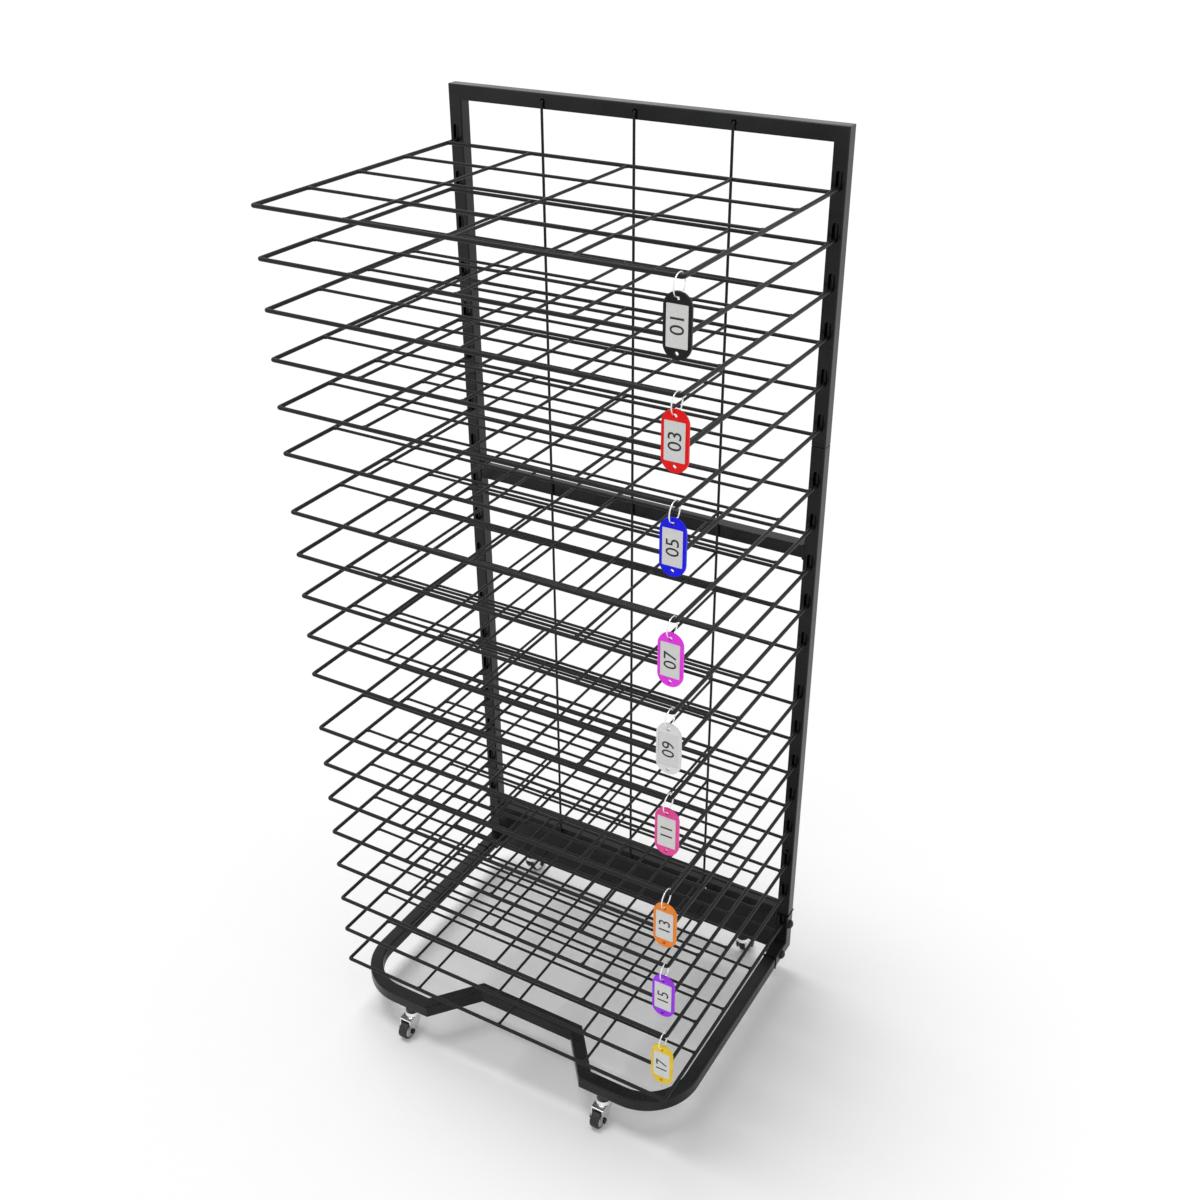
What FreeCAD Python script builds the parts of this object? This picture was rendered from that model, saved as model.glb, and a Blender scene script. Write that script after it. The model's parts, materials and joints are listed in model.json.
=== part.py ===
"""Wire-shelf drying rack on four casters, in millimetres.

Frame: +Z up, z = 0 on the floor, x = 0 on the centre plane, and y = 0 midway between the
front and rear caster stems. The uprights stand at +Y, and the shelves reach out to -Y.
"""
import FreeCAD, Part
import math
import os

from FreeCAD import Vector

# ---------------------------------------------------------------- tubular frame
FRAME_WIDTH = 460.0            # over the outside of the two uprights
FRAME_HEIGHT = 1080.0          # floor to the top of the top rail
BASE_DEPTH = 321.0             # upright centre plane to front bar centre line
TUBE = 16.0                    # square tube, outside
TUBE_WALL = 1.2
TUBE_CORNER = 1.6              # outside corner radius of the tube
SEAM_HEIGHT = 753.0            # joint between the upper and lower uprights
SEAM_CHAMFER = 0.8             # round both tube ends at the joint
CROSSBAR_UNDERSIDE = 618.5
SPIGOT_CLEARANCE = 0.2         # each side, swaged end inside the next tube
SECTION_SPIGOT = 22.0          # swaged length below the seam
TIE_HOLE_HEIGHT = 208.0        # small hole low in the face of each upright
TIE_HOLE_BORE = 4.0

# ---------------------------------------------------------------- base and elbows
BASE_UNDERSIDE = 41.0
BASE_BEND = 60.0               # centre-line radius of the front corners
NOTCH_MOUTH = 225.6            # between the outer mitres of the kick-back, on centre lines
NOTCH_FLOOR = 135.6            # between its inner mitres
NOTCH_DEPTH = 55.0
ELBOW_RISE = 61.3              # base underside to the top of the elbow
ELBOW_REACH = 48.5             # rear face to the front end of the elbow
ELBOW_CORNER = 5.0
ELBOW_SPIGOT = 27.0            # swaged ends inside the elbow
BOLT_INSET = 19.0              # from an elbow's end to its bolt
PANEL_HEIGHT = 70.0
PANEL_GAUGE = 2.0

# ---------------------------------------------------------------- bolts and nuts
BOLT_DIAMETER = 5.0
BOLT_HEAD_DIAMETER = 12.0
BOLT_HEAD_HEIGHT = 4.0
BOLT_HEAD_RIM = 1.2            # straight edge below the dome
BOLT_SHOULDER = (4.0, 3.4)     # radius and height of a point half way up the dome
BOLT_SOCKET = 4.0              # across the flats of the hexagon socket
BOLT_SOCKET_DEPTH = 2.2
NUT_DIAMETER = 10.0
NUT_HEIGHT = 4.5
NUT_CHAMFER = 0.8
BOLT_HOLE_CLEARANCE = 0.2      # radial

# ---------------------------------------------------------------- shelves
LOWEST_SHELF = 87.0            # height of its wire centre
SHELF_PITCH = 49.6
SHELF_GROUPS = (3, 5, 5, 6)    # shelves in each run, from the bottom
GROUP_STEPS = (53.0, 72.0, 65.5)   # last shelf of a run to the first of the next
SHELF_REACH = 325.0            # upright face to the outside of the front wire
SIDE_WIRE_OFFSET = 0.5         # outwards from the uprights' centre lines
LOOP_WIRE = 4.3
LOOP_CORNER = 2.4              # centre-line radius of the front corners and hooks
REAR_WIRE = 4.0
REAR_WIRE_SETBACK = 15.5       # in front of the upright face
GRID_WIRE = 3.2
GRID_SPACING = 117.0           # between the wires that run front to back
CROSS_WIRES = 3                # thin wires across, evenly spaced
HOOK_CLEARANCE = 0.3           # hook to the inside of the tube wall
HOOK_OVERLAP = 3.0             # hook end above the slot
SLOT_WIDTH = 6.8
SLOT_HEIGHT = 19.5

# ---------------------------------------------------------------- back wires
BACK_WIRE = 3.0
BACK_WIRE_SPACING = 110.0
BACK_WIRE_CLEARANCE = 0.3      # off the front faces
BACK_WIRE_HOLE = 6.0
BACK_WIRE_TAIL = 9.0           # hooked end, behind the face
BACK_WIRE_BEND = 2.6
PANEL_HOLE_INSET = 12.0        # below the panel's top edge

# ---------------------------------------------------------------- shelf tags
TAG_WIDTH = 26.0
TAG_LENGTH = 57.0
TAG_THICKNESS = 3.0
TAG_EDGE = 0.8                 # rounding round the front edge
TAG_HOLE = 4.2
TAG_HOLE_INSET = 5.5           # hole centre to the tag's end
TAG_STANDOFF = 0.5             # behind the tag, to the wire of the next shelf
CARD_WIDTH = 20.5
CARD_LENGTH = 37.0
CARD_RECESS = 0.6
RING_DIAMETER = 21.5
RING_WIRE = 1.3
RING_CLEARANCE = 0.3           # ring to the wire that it hangs on, and ring to tag
RING_INSET = 3.3               # in from the side wire's centre line
TAG_OFFSET = 1.2               # tag's centre line outwards from its ring

# ---------------------------------------------------------------- casters
FRONT_STEM_INSET = 84.0        # in from the uprights' centre lines
REAR_STEM_INSET = 56.0
STEM_DIAMETER = 8.0
STEM_RISE = 10.0               # above the tube's underside
SOCKET_DIAMETER = 16.0
SOCKET_HEIGHT = 8.0
RACE_DIAMETER = 18.5
RACE_HEIGHT = 4.0
RACE_TAPER = 1.5               # off the radius at the top
SWIVEL_GAP = 0.3
RIVET_DIAMETER = 11.0
RIVET_HEIGHT = 1.6
WHEEL_DIAMETER = 23.0
WHEEL_WIDTH = 11.2
WHEEL_HUB_DIAMETER = 15.0
WHEEL_BOSS_DIAMETER = 8.0
WHEEL_DISH = 1.2               # recess of the wheel's sides
TREAD_ROUND = 2.0
FORK_WIDTH = 15.8
FORK_PLATE = 1.5
FORK_TRAIL = 13.0
FORK_FRONT = 15.7              # front edge of the crown, ahead of the stem
FORK_REAR = 6.5                # rear edge of the ears, behind the stem
FORK_EDGE = 0.8                # rounding along the crown's front edge
FORK_WAIST = (-6.0, 20.0)      # corners of an ear's rear edge: ahead of the stem, and height
FORK_HEEL = (1.0, 9.0)
FORK_FOOT = 4.2                # radius of the fork's ears round the axle
AXLE_DIAMETER = 4.0
AXLE_LENGTH = 19.6
AXLE_HEAD_DIAMETER = 7.0
RUNNING_FIT = 0.05             # radial, shaft in hole

# ---------------------------------------------------------------- derived places
POST_X = (FRAME_WIDTH - TUBE) / 2
POST_Y = BASE_DEPTH / 2
FACE_Y = POST_Y - TUBE / 2     # front face of the uprights
FRONT_BAR_Y = -BASE_DEPTH / 2
BASE_Z = BASE_UNDERSIDE + TUBE / 2
RAIL_Z = FRAME_HEIGHT - TUBE / 2
ELBOW_TOP = BASE_UNDERSIDE + ELBOW_RISE
ELBOW_FRONT = POST_Y + TUBE / 2 - ELBOW_REACH
SPIGOT = TUBE - 2 * TUBE_WALL - 2 * SPIGOT_CLEARANCE
PANEL_TOP = BASE_UNDERSIDE + PANEL_HEIGHT
FRONT_WIRE_Y = FACE_Y - SHELF_REACH + LOOP_WIRE / 2
SIDE_WIRE_X = POST_X + SIDE_WIRE_OFFSET
RING_X = SIDE_WIRE_X - RING_INSET
TAG_X = RING_X + TAG_OFFSET
HOOK_Y = FACE_Y + TUBE_WALL + HOOK_CLEARANCE + LOOP_WIRE / 2
SLOT_DROP = LOOP_WIRE / 2 + HOOK_CLEARANCE      # slot's lower end below the wire centre
HOOK_RISE = SLOT_HEIGHT - SLOT_DROP + HOOK_OVERLAP
BACK_WIRE_Y = FACE_Y - BACK_WIRE_CLEARANCE - BACK_WIRE / 2
BACK_WIRE_XS = (-BACK_WIRE_SPACING, 0.0, BACK_WIRE_SPACING)
FRONT_STEM_X = POST_X - FRONT_STEM_INSET
REAR_STEM_X = POST_X - REAR_STEM_INSET
RACE_TOP = BASE_UNDERSIDE - SOCKET_HEIGHT
RACE_UNDERSIDE = RACE_TOP - RACE_HEIGHT
FORK_TOP = RACE_UNDERSIDE - SWIVEL_GAP
RIVET_TOP = FORK_TOP - FORK_PLATE - SWIVEL_GAP
AXLE_Z = WHEEL_DIAMETER / 2
UP = Vector(0, 0, 1)


def shelf_heights():
    """Heights of the shelf wires, from the bottom shelf to the top one."""
    heights = []
    level = LOWEST_SHELF
    for run, count in enumerate(SHELF_GROUPS):
        heights += [level + place * SHELF_PITCH for place in range(count)]
        if run < len(GROUP_STEPS):
            level = heights[-1] + GROUP_STEPS[run]
    return heights


# ---------------------------------------------------------------- shape helpers
def block(x_range, y_range, z_range):
    """Box between three pairs of coordinates."""
    corner = Vector(min(x_range), min(y_range), min(z_range))
    size = [max(pair) - min(pair) for pair in (x_range, y_range, z_range)]
    return Part.makeBox(size[0], size[1], size[2], corner)


def cylinder(radius, start, end):
    """Round bar from one point to another."""
    return Part.makeCylinder(radius, (end - start).Length, start, end - start)


def fuse(shapes):
    """Union of several shapes as one clean solid."""
    return shapes[0].multiFuse(list(shapes[1:])).removeSplitter()


def mirrored(shape):
    """Copy of a shape on the other side of the centre plane."""
    return shape.mirror(Vector(0, 0, 0), Vector(1, 0, 0))


def bent_path(points, radius):
    """Wire through the points, with a tangent arc of the radius at each inner point."""
    edges = []
    start = points[0]
    for before, corner, after in zip(points, points[1:], points[2:]):
        come = (corner - before).normalize()
        leave = (after - corner).normalize()
        turn = come.getAngle(leave)
        setback = radius * math.tan(turn / 2)
        entry = corner - come * setback
        departure = corner + leave * setback
        inward = (leave - come).normalize()
        middle = corner + inward * (radius / math.cos(turn / 2) - radius)
        edges.append(Part.makeLine(start, entry))
        edges.append(Part.Arc(entry, middle, departure).toShape())
        start = departure
    edges.append(Part.makeLine(start, points[-1]))
    return Part.Wire(edges)


def rod(points, radius, diameter):
    """Round wire bent through the points."""
    path = bent_path(points, radius)
    section = Part.makeCircle(diameter / 2, points[0], points[1] - points[0])
    return path.makePipe(Part.Face(Part.Wire(section)))


def square_section(centre, along, size, corner):
    """Closed outline of a square tube about a point, across a direction, upright."""
    across = along.cross(UP if abs(along.z) < 0.5 else Vector(0, 1, 0)).normalize()
    upward = across.cross(along).normalize()
    half = size / 2
    flat = half - corner
    bow = half - corner + corner * math.sqrt(0.5)
    edges = []
    for side in range(4):
        out = (across, upward, across * -1, upward * -1)[side]
        round_to = (upward, across * -1, upward * -1, across)[side]
        edges.append(Part.makeLine(centre + out * half - round_to * flat,
                                   centre + out * half + round_to * flat))
        edges.append(Part.Arc(centre + out * half + round_to * flat,
                              centre + out * bow + round_to * bow,
                              centre + out * flat + round_to * half).toShape())
    return Part.Wire(edges)


def tube_bar(start, end, size=TUBE, corner=TUBE_CORNER, wall=TUBE_WALL):
    """Straight square tube, open at both ends."""
    along = (end - start).normalize()
    outer = Part.Face(square_section(start, along, size, corner))
    inner = Part.Face(square_section(start, along, size - 2 * wall, corner - wall))
    return outer.cut(inner).extrude(end - start)


def mitred_bars(points, size, corner):
    """Solid square bars from point to point, each cut to a mitre at the inner ones."""
    runs = list(zip(points, points[1:]))
    alongs = [(end - start).normalize() for start, end in runs]
    bars = []
    for place, (start, end) in enumerate(runs):
        along = alongs[place]
        cutters = []
        if place > 0:
            cutters.append(beyond(start, (along + alongs[place - 1]) * -1))
            start = start - along * TUBE
        if place < len(runs) - 1:
            cutters.append(beyond(end, along + alongs[place + 1]))
            end = end + along * TUBE
        bar = Part.Face(square_section(start, along, size, corner)).extrude(end - start)
        bars.append(bar.cut(cutters) if cutters else bar)
    return bars


def mitred_tubes(points):
    """Square tubes from point to point, each cut to a mitre at the inner ones."""
    bores = mitred_bars(points, TUBE - 2 * TUBE_WALL, TUBE_CORNER - TUBE_WALL)
    return [bar.cut(bores) for bar in mitred_bars(points, TUBE, TUBE_CORNER)]


def beyond(point, direction):
    """Cutter for what lies past a plane through the point, near a tube's end."""
    return Part.makeCylinder(2 * TUBE, 4 * TUBE, point, direction)


def swaged_end(start, along, length):
    """Step and spigot at the end of a tube, which slide into the next piece."""
    step = along * TUBE_WALL
    outer = Part.Face(square_section(start, along, TUBE, TUBE_CORNER))
    inner = Part.Face(square_section(start, along, SPIGOT - 2 * TUBE_WALL,
                                     TUBE_CORNER - TUBE_WALL))
    shoulder = outer.cut(inner).extrude(step * -1)
    return [shoulder, tube_bar(start - step, start + along * length, SPIGOT)]


def seam_chamfer(frame):
    """Break the outer edges of the tube ends at the seam."""
    inside = SPIGOT / 2 + TUBE_WALL / 4
    rims = [edge for edge in frame.Edges
            if edge.BoundBox.ZLength < RUNNING_FIT
            and abs(edge.BoundBox.ZMin - SEAM_HEIGHT) < RUNNING_FIT
            and max(abs(abs(edge.CenterOfMass.x) - POST_X),
                    abs(edge.CenterOfMass.y - POST_Y)) > inside]
    return frame.makeChamfer(SEAM_CHAMFER, rims)


def slot_cutters(side):
    """Cutters for the upright's row of shelf slots, round-ended, through the front wall."""
    radius = SLOT_WIDTH / 2
    cutters = []
    for height in shelf_heights():
        low = height - SLOT_DROP
        x = side * SIDE_WIRE_X
        front = FACE_Y - TUBE_WALL
        back = FACE_Y + 2 * TUBE_WALL + 2 * SPIGOT_CLEARANCE
        body = block((x - radius, x + radius), (front, back),
                     (low + radius, low + SLOT_HEIGHT - radius))
        ends = [cylinder(radius, Vector(x, front, z), Vector(x, back, z))
                for z in (low + radius, low + SLOT_HEIGHT - radius)]
        cutters.append(fuse([body] + ends))
    return cutters


def round_hole(x, z, diameter):
    """Cutter for a hole through a front wall."""
    return cylinder(diameter / 2, Vector(x, FACE_Y - TUBE_WALL, z),
                    Vector(x, FACE_Y + 2 * TUBE_WALL, z))


# ---------------------------------------------------------------- tubular frame
def upper_frame():
    """Upper uprights and top rail, mitred and welded, with spigots below the seam."""
    corners = [Vector(-POST_X, POST_Y, SEAM_HEIGHT), Vector(-POST_X, POST_Y, RAIL_Z),
               Vector(POST_X, POST_Y, RAIL_Z), Vector(POST_X, POST_Y, SEAM_HEIGHT)]
    parts = mitred_tubes(corners)
    for x in (-POST_X, POST_X):
        parts += swaged_end(Vector(x, POST_Y, SEAM_HEIGHT), UP * -1, SECTION_SPIGOT)
    cutters = slot_cutters(-1) + slot_cutters(1)
    cutters += [round_hole(x, RAIL_Z, BACK_WIRE_HOLE) for x in BACK_WIRE_XS]
    return seam_chamfer(fuse(parts)).cut(cutters)


def lower_frame():
    """Lower uprights and crossbar, with spigots down into the elbows."""
    parts = []
    for x in (-POST_X, POST_X):
        foot = Vector(x, POST_Y, ELBOW_TOP)
        parts.append(tube_bar(foot + UP * TUBE_WALL, Vector(x, POST_Y, SEAM_HEIGHT)))
        parts += swaged_end(foot, UP * -1, ELBOW_SPIGOT)
    crossbar_z = CROSSBAR_UNDERSIDE + TUBE / 2
    inside = POST_X - TUBE / 2
    parts.append(tube_bar(Vector(-inside, POST_Y, crossbar_z), Vector(inside, POST_Y, crossbar_z)))
    cutters = slot_cutters(-1) + slot_cutters(1)
    cutters += [round_hole(x, TIE_HOLE_HEIGHT, TIE_HOLE_BORE) for x in (-POST_X, POST_X)]
    return seam_chamfer(fuse(parts)).cut(cutters + bolt_holes())


# ---------------------------------------------------------------- base
def base_corner(side):
    """Front corner of the base, the tube bent through a quarter turn."""
    start = Vector(side * POST_X, FRONT_BAR_Y + BASE_BEND, BASE_Z)
    along = Vector(0, -1, 0)
    outer = Part.Face(square_section(start, along, TUBE, TUBE_CORNER))
    inner = Part.Face(square_section(start, along, TUBE - 2 * TUBE_WALL,
                                     TUBE_CORNER - TUBE_WALL))
    centre = Vector(side * (POST_X - BASE_BEND), start.y, BASE_Z)
    return outer.cut(inner).revolve(centre, UP * -side, 90)


def kick_back():
    """Five tubes of the base's front bar, mitred round the foot space in its middle."""
    end = POST_X - BASE_BEND
    right = [Vector(end, FRONT_BAR_Y, BASE_Z), Vector(NOTCH_MOUTH / 2, FRONT_BAR_Y, BASE_Z),
             Vector(NOTCH_FLOOR / 2, FRONT_BAR_Y + NOTCH_DEPTH, BASE_Z)]
    corners = right + [Vector(-v.x, v.y, v.z) for v in reversed(right)]
    return mitred_tubes(corners)


def base_frame():
    """Kick-back of the base and its two bent sides, with spigots back into the elbows."""
    front = kick_back()
    parts = [fuse(front[1:-1])]
    for side, stub in ((1, front[0]), (-1, front[-1])):
        rear = Vector(side * POST_X, ELBOW_FRONT, BASE_Z)
        straight = tube_bar(Vector(side * POST_X, FRONT_BAR_Y + BASE_BEND, BASE_Z),
                            rear - Vector(0, TUBE_WALL, 0))
        parts.append(fuse([stub, base_corner(side), straight]
                          + swaged_end(rear, Vector(0, 1, 0), ELBOW_SPIGOT)))
    holes = [cylinder(STEM_DIAMETER / 2 + RUNNING_FIT, Vector(x, FRONT_BAR_Y, BASE_UNDERSIDE - 1),
                      Vector(x, FRONT_BAR_Y, BASE_Z)) for x in (-FRONT_STEM_X, FRONT_STEM_X)]
    return Part.makeCompound(parts).cut(holes + bolt_holes())


def elbow(side):
    """Corner sleeve that takes the foot of an upright and the end of a base tube."""
    x = side * POST_X
    points = [Vector(x, POST_Y, ELBOW_TOP), Vector(x, POST_Y, BASE_Z),
              Vector(x, ELBOW_FRONT, BASE_Z)]
    outer = fuse(mitred_bars(points, TUBE, TUBE_CORNER))
    hollow = fuse(mitred_bars(points, TUBE - 2 * TUBE_WALL, TUBE_CORNER - TUBE_WALL))
    outer = outer.cut(heel_cutter(x, TUBE / 2, ELBOW_CORNER))
    hollow = hollow.cut(heel_cutter(x, TUBE / 2 - TUBE_WALL, ELBOW_CORNER - TUBE_WALL))
    return outer.cut(hollow)


def heel_cutter(x, half, radius):
    """Cutter that rounds the lower rear corner of a bar of the given half width."""
    y = POST_Y + half - radius
    z = BASE_Z - half + radius
    corner = block((x - TUBE, x + TUBE), (y, y + TUBE), (z - TUBE, z))
    return corner.cut(cylinder(radius, Vector(x - TUBE, y, z), Vector(x + TUBE, y, z)))


def rear_foot_bar():
    """The two elbows and the folded sheet that is welded between them."""
    inside = POST_X - TUBE / 2
    rear = POST_Y + TUBE / 2
    sheet = block((-inside, inside), (FACE_Y, FACE_Y + PANEL_GAUGE), (BASE_UNDERSIDE, PANEL_TOP))
    shelf = block((-inside, inside), (FACE_Y, rear),
                  (BASE_UNDERSIDE, BASE_UNDERSIDE + PANEL_GAUGE))
    hem = block((-inside, inside), (FACE_Y, rear), (PANEL_TOP - PANEL_GAUGE, PANEL_TOP))
    bar = fuse([sheet, shelf, hem, elbow(-1), elbow(1)])
    holes = [cylinder(STEM_DIAMETER / 2 + RUNNING_FIT, Vector(x, POST_Y, BASE_UNDERSIDE - 1),
                      Vector(x, POST_Y, BASE_Z)) for x in (-REAR_STEM_X, REAR_STEM_X)]
    holes += [round_hole(x, PANEL_TOP - PANEL_HOLE_INSET, BACK_WIRE_HOLE) for x in BACK_WIRE_XS]
    return bar.cut(holes + bolt_holes() + slot_cutters(-1) + slot_cutters(1))


# ---------------------------------------------------------------- bolts and nuts
def bolt_places():
    """Centres of the elbow bolts in the YZ plane."""
    return ((POST_Y, ELBOW_TOP - BOLT_INSET), (ELBOW_FRONT + BOLT_INSET, BASE_Z))


def bolt_holes():
    """Cutters for the bolts, across both elbows."""
    radius = BOLT_DIAMETER / 2 + BOLT_HOLE_CLEARANCE
    cutters = []
    for y, z in bolt_places():
        for x in (-POST_X, POST_X):
            cutters.append(cylinder(radius, Vector(x - TUBE, y, z), Vector(x + TUBE, y, z)))
    return cutters


def hexagon(across_flats, centre, along, length):
    """Hexagonal bar across the X axis."""
    radius = across_flats / math.sqrt(3)
    points = [centre + Vector(0, radius * math.cos(math.radians(60 * step)),
                              radius * math.sin(math.radians(60 * step))) for step in range(7)]
    return Part.Face(Part.makePolygon(points)).extrude(along * length)


def frame_bolts():
    """Four domed socket screws, heads outside."""
    face = FRAME_WIDTH / 2
    bolts = []
    for y, z in bolt_places():
        rim = Vector(BOLT_HEAD_DIAMETER / 2, 0, BOLT_HEAD_RIM)
        crown = Vector(0, 0, BOLT_HEAD_HEIGHT)
        shoulder = Vector(BOLT_SHOULDER[0], 0, BOLT_SHOULDER[1])
        outline = Part.Wire([Part.makeLine(Vector(0, 0, 0), Vector(rim.x, 0, 0)),
                             Part.makeLine(Vector(rim.x, 0, 0), rim),
                             Part.Arc(rim, shoulder, crown).toShape(),
                             Part.makeLine(crown, Vector(0, 0, 0))])
        head = Part.Face(outline).revolve(Vector(0, 0, 0), UP, 360)
        head.rotate(Vector(0, 0, 0), Vector(0, 1, 0), 90)
        head.translate(Vector(face, y, z))
        shank = cylinder(BOLT_DIAMETER / 2, Vector(face - TUBE - NUT_HEIGHT, y, z),
                         Vector(face + BOLT_HEAD_RIM, y, z))
        socket = hexagon(BOLT_SOCKET, Vector(face + BOLT_HEAD_HEIGHT - BOLT_SOCKET_DEPTH, y, z),
                         Vector(1, 0, 0), BOLT_HEAD_HEIGHT)
        bolt = fuse([head, shank]).cut(socket)
        bolts += [bolt, mirrored(bolt)]
    return Part.makeCompound(bolts)


def frame_nuts():
    """Four round barrel nuts on the inner faces of the elbows."""
    face = FRAME_WIDTH / 2 - TUBE
    nuts = []
    for y, z in bolt_places():
        inner = Vector(face - NUT_HEIGHT, y, z)
        nut = cylinder(NUT_DIAMETER / 2, inner, Vector(face, y, z))
        nut = nut.makeChamfer(NUT_CHAMFER, [edge for edge in nut.Edges
                                            if edge.CenterOfMass.x < face - NUT_HEIGHT / 2
                                            and len(edge.Vertexes) == 1])
        nut = nut.cut(cylinder(BOLT_DIAMETER / 2 + RUNNING_FIT, inner, Vector(face, y, z)))
        nuts += [nut, mirrored(nut)]
    return Part.makeCompound(nuts)


# ---------------------------------------------------------------- wires
def back_wire(x):
    """Vertical wire hooked into the top rail and the panel."""
    tail_y = FACE_Y + BACK_WIRE_TAIL
    low = PANEL_TOP - PANEL_HOLE_INSET
    points = [Vector(x, tail_y, RAIL_Z), Vector(x, BACK_WIRE_Y, RAIL_Z),
              Vector(x, BACK_WIRE_Y, low), Vector(x, tail_y, low)]
    return rod(points, BACK_WIRE_BEND, BACK_WIRE)


def shelf(height):
    """Wire shelf: a loop with hooked ends, and the grid of straight wires welded inside it."""
    loop = rod([Vector(-SIDE_WIRE_X, HOOK_Y, height + HOOK_RISE),
                Vector(-SIDE_WIRE_X, HOOK_Y, height),
                Vector(-SIDE_WIRE_X, FRONT_WIRE_Y, height),
                Vector(SIDE_WIRE_X, FRONT_WIRE_Y, height),
                Vector(SIDE_WIRE_X, HOOK_Y, height),
                Vector(SIDE_WIRE_X, HOOK_Y, height + HOOK_RISE)], LOOP_CORNER, LOOP_WIRE)
    rear_y = FACE_Y - REAR_WIRE_SETBACK
    depth = rear_y - FRONT_WIRE_Y
    wires = [across_wire(rear_y, height, REAR_WIRE)]
    for place in range(1, CROSS_WIRES + 1):
        wires.append(across_wire(FRONT_WIRE_Y + depth * place / (CROSS_WIRES + 1), height, GRID_WIRE))
    for x in (-GRID_SPACING, 0.0, GRID_SPACING):
        wires.append(cylinder(GRID_WIRE / 2, Vector(x, FRONT_WIRE_Y, height),
                              Vector(x, rear_y, height)))
    return Part.makeCompound([loop, fuse(wires).cut(loop)])


def across_wire(y, height, diameter):
    """Straight wire from one side wire to the other."""
    return cylinder(diameter / 2, Vector(-SIDE_WIRE_X, y, height), Vector(SIDE_WIRE_X, y, height))


# ---------------------------------------------------------------- shelf tags
def ring_centre_z(height):
    """Height of a tag ring's centre, hung on the front wire."""
    return height + LOOP_WIRE / 2 + RING_CLEARANCE - RING_DIAMETER / 2 + RING_WIRE


def tag_back_y():
    """Back face of a hanging tag."""
    return FRONT_WIRE_Y - LOOP_WIRE / 2 - TAG_STANDOFF


def tag_hole_z(height):
    """Height of the tag's upper hole, about the ring where it passes through."""
    offset = FRONT_WIRE_Y - tag_back_y() + TAG_THICKNESS / 2
    radius = (RING_DIAMETER - RING_WIRE) / 2
    return ring_centre_z(height) - math.sqrt(radius ** 2 - offset ** 2)


def tag_ring(height):
    """Wire ring round the front wire of a shelf, through the tag's upper hole."""
    return Part.makeTorus((RING_DIAMETER - RING_WIRE) / 2, RING_WIRE / 2,
                          Vector(RING_X, FRONT_WIRE_Y, ring_centre_z(height)), Vector(1, 0, 0))


def shelf_tag(height):
    """Round-ended plate with a hole at each end and a shallow recess for a card."""
    x = TAG_X
    back = tag_back_y()
    front = back - TAG_THICKNESS
    top_hole = tag_hole_z(height)
    radius = TAG_WIDTH / 2
    high = top_hole + TAG_HOLE_INSET - radius
    low = top_hole + TAG_HOLE_INSET - TAG_LENGTH + radius
    outline = Part.Wire([
        Part.makeLine(Vector(x + radius, back, low), Vector(x + radius, back, high)),
        Part.Arc(Vector(x + radius, back, high), Vector(x, back, high + radius),
                 Vector(x - radius, back, high)).toShape(),
        Part.makeLine(Vector(x - radius, back, high), Vector(x - radius, back, low)),
        Part.Arc(Vector(x - radius, back, low), Vector(x, back, low - radius),
                 Vector(x + radius, back, low)).toShape()])
    plate = Part.Face(outline).extrude(Vector(0, -TAG_THICKNESS, 0))
    rim = [edge for edge in plate.Edges if abs(edge.BoundBox.YMax - front) < RUNNING_FIT]
    plate = plate.makeFillet(TAG_EDGE, rim)
    middle = (high + low) / 2
    card = block((x - CARD_WIDTH / 2, x + CARD_WIDTH / 2), (front - 1, front + CARD_RECESS),
                 (middle - CARD_LENGTH / 2, middle + CARD_LENGTH / 2))
    bottom_hole = low - radius + TAG_HOLE_INSET
    holes = [cylinder(TAG_HOLE / 2, Vector(x, back + 1, z), Vector(x, front - 1, z))
             for z in (top_hole, bottom_hole)]
    return plate.cut([card] + holes)


# ---------------------------------------------------------------- casters
def caster_places():
    """Stem place and trailing direction of each caster, by name."""
    return {
        "front_left": (Vector(-FRONT_STEM_X, FRONT_BAR_Y, 0), -1),
        "front_right": (Vector(FRONT_STEM_X, FRONT_BAR_Y, 0), -1),
        "rear_left": (Vector(-REAR_STEM_X, POST_Y, 0), 1),
        "rear_right": (Vector(REAR_STEM_X, POST_Y, 0), 1),
    }


def caster_sockets():
    """Collars between the base and the casters."""
    sockets = []
    for place, _ in caster_places().values():
        collar = cylinder(SOCKET_DIAMETER / 2, place + UP * RACE_TOP, place + UP * BASE_UNDERSIDE)
        bore = cylinder(STEM_DIAMETER / 2 + RUNNING_FIT, place, place + UP * BASE_Z)
        sockets.append(collar.cut(bore))
    return Part.makeCompound(sockets)


def caster_stems():
    """Stems with their fixed upper races and the rivet heads that hold the forks."""
    stems = []
    for place, _ in caster_places().values():
        low = place + UP * (RIVET_TOP - RIVET_HEIGHT)
        pin = cylinder(STEM_DIAMETER / 2, low, place + UP * (BASE_UNDERSIDE + STEM_RISE))
        race = Part.makeCone(RACE_DIAMETER / 2, RACE_DIAMETER / 2 - RACE_TAPER, RACE_HEIGHT,
                             place + UP * RACE_UNDERSIDE, UP)
        head = cylinder(RIVET_DIAMETER / 2, low, place + UP * RIVET_TOP)
        stems.append(fuse([pin, race, head]))
    return Part.makeCompound(stems)


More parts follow.
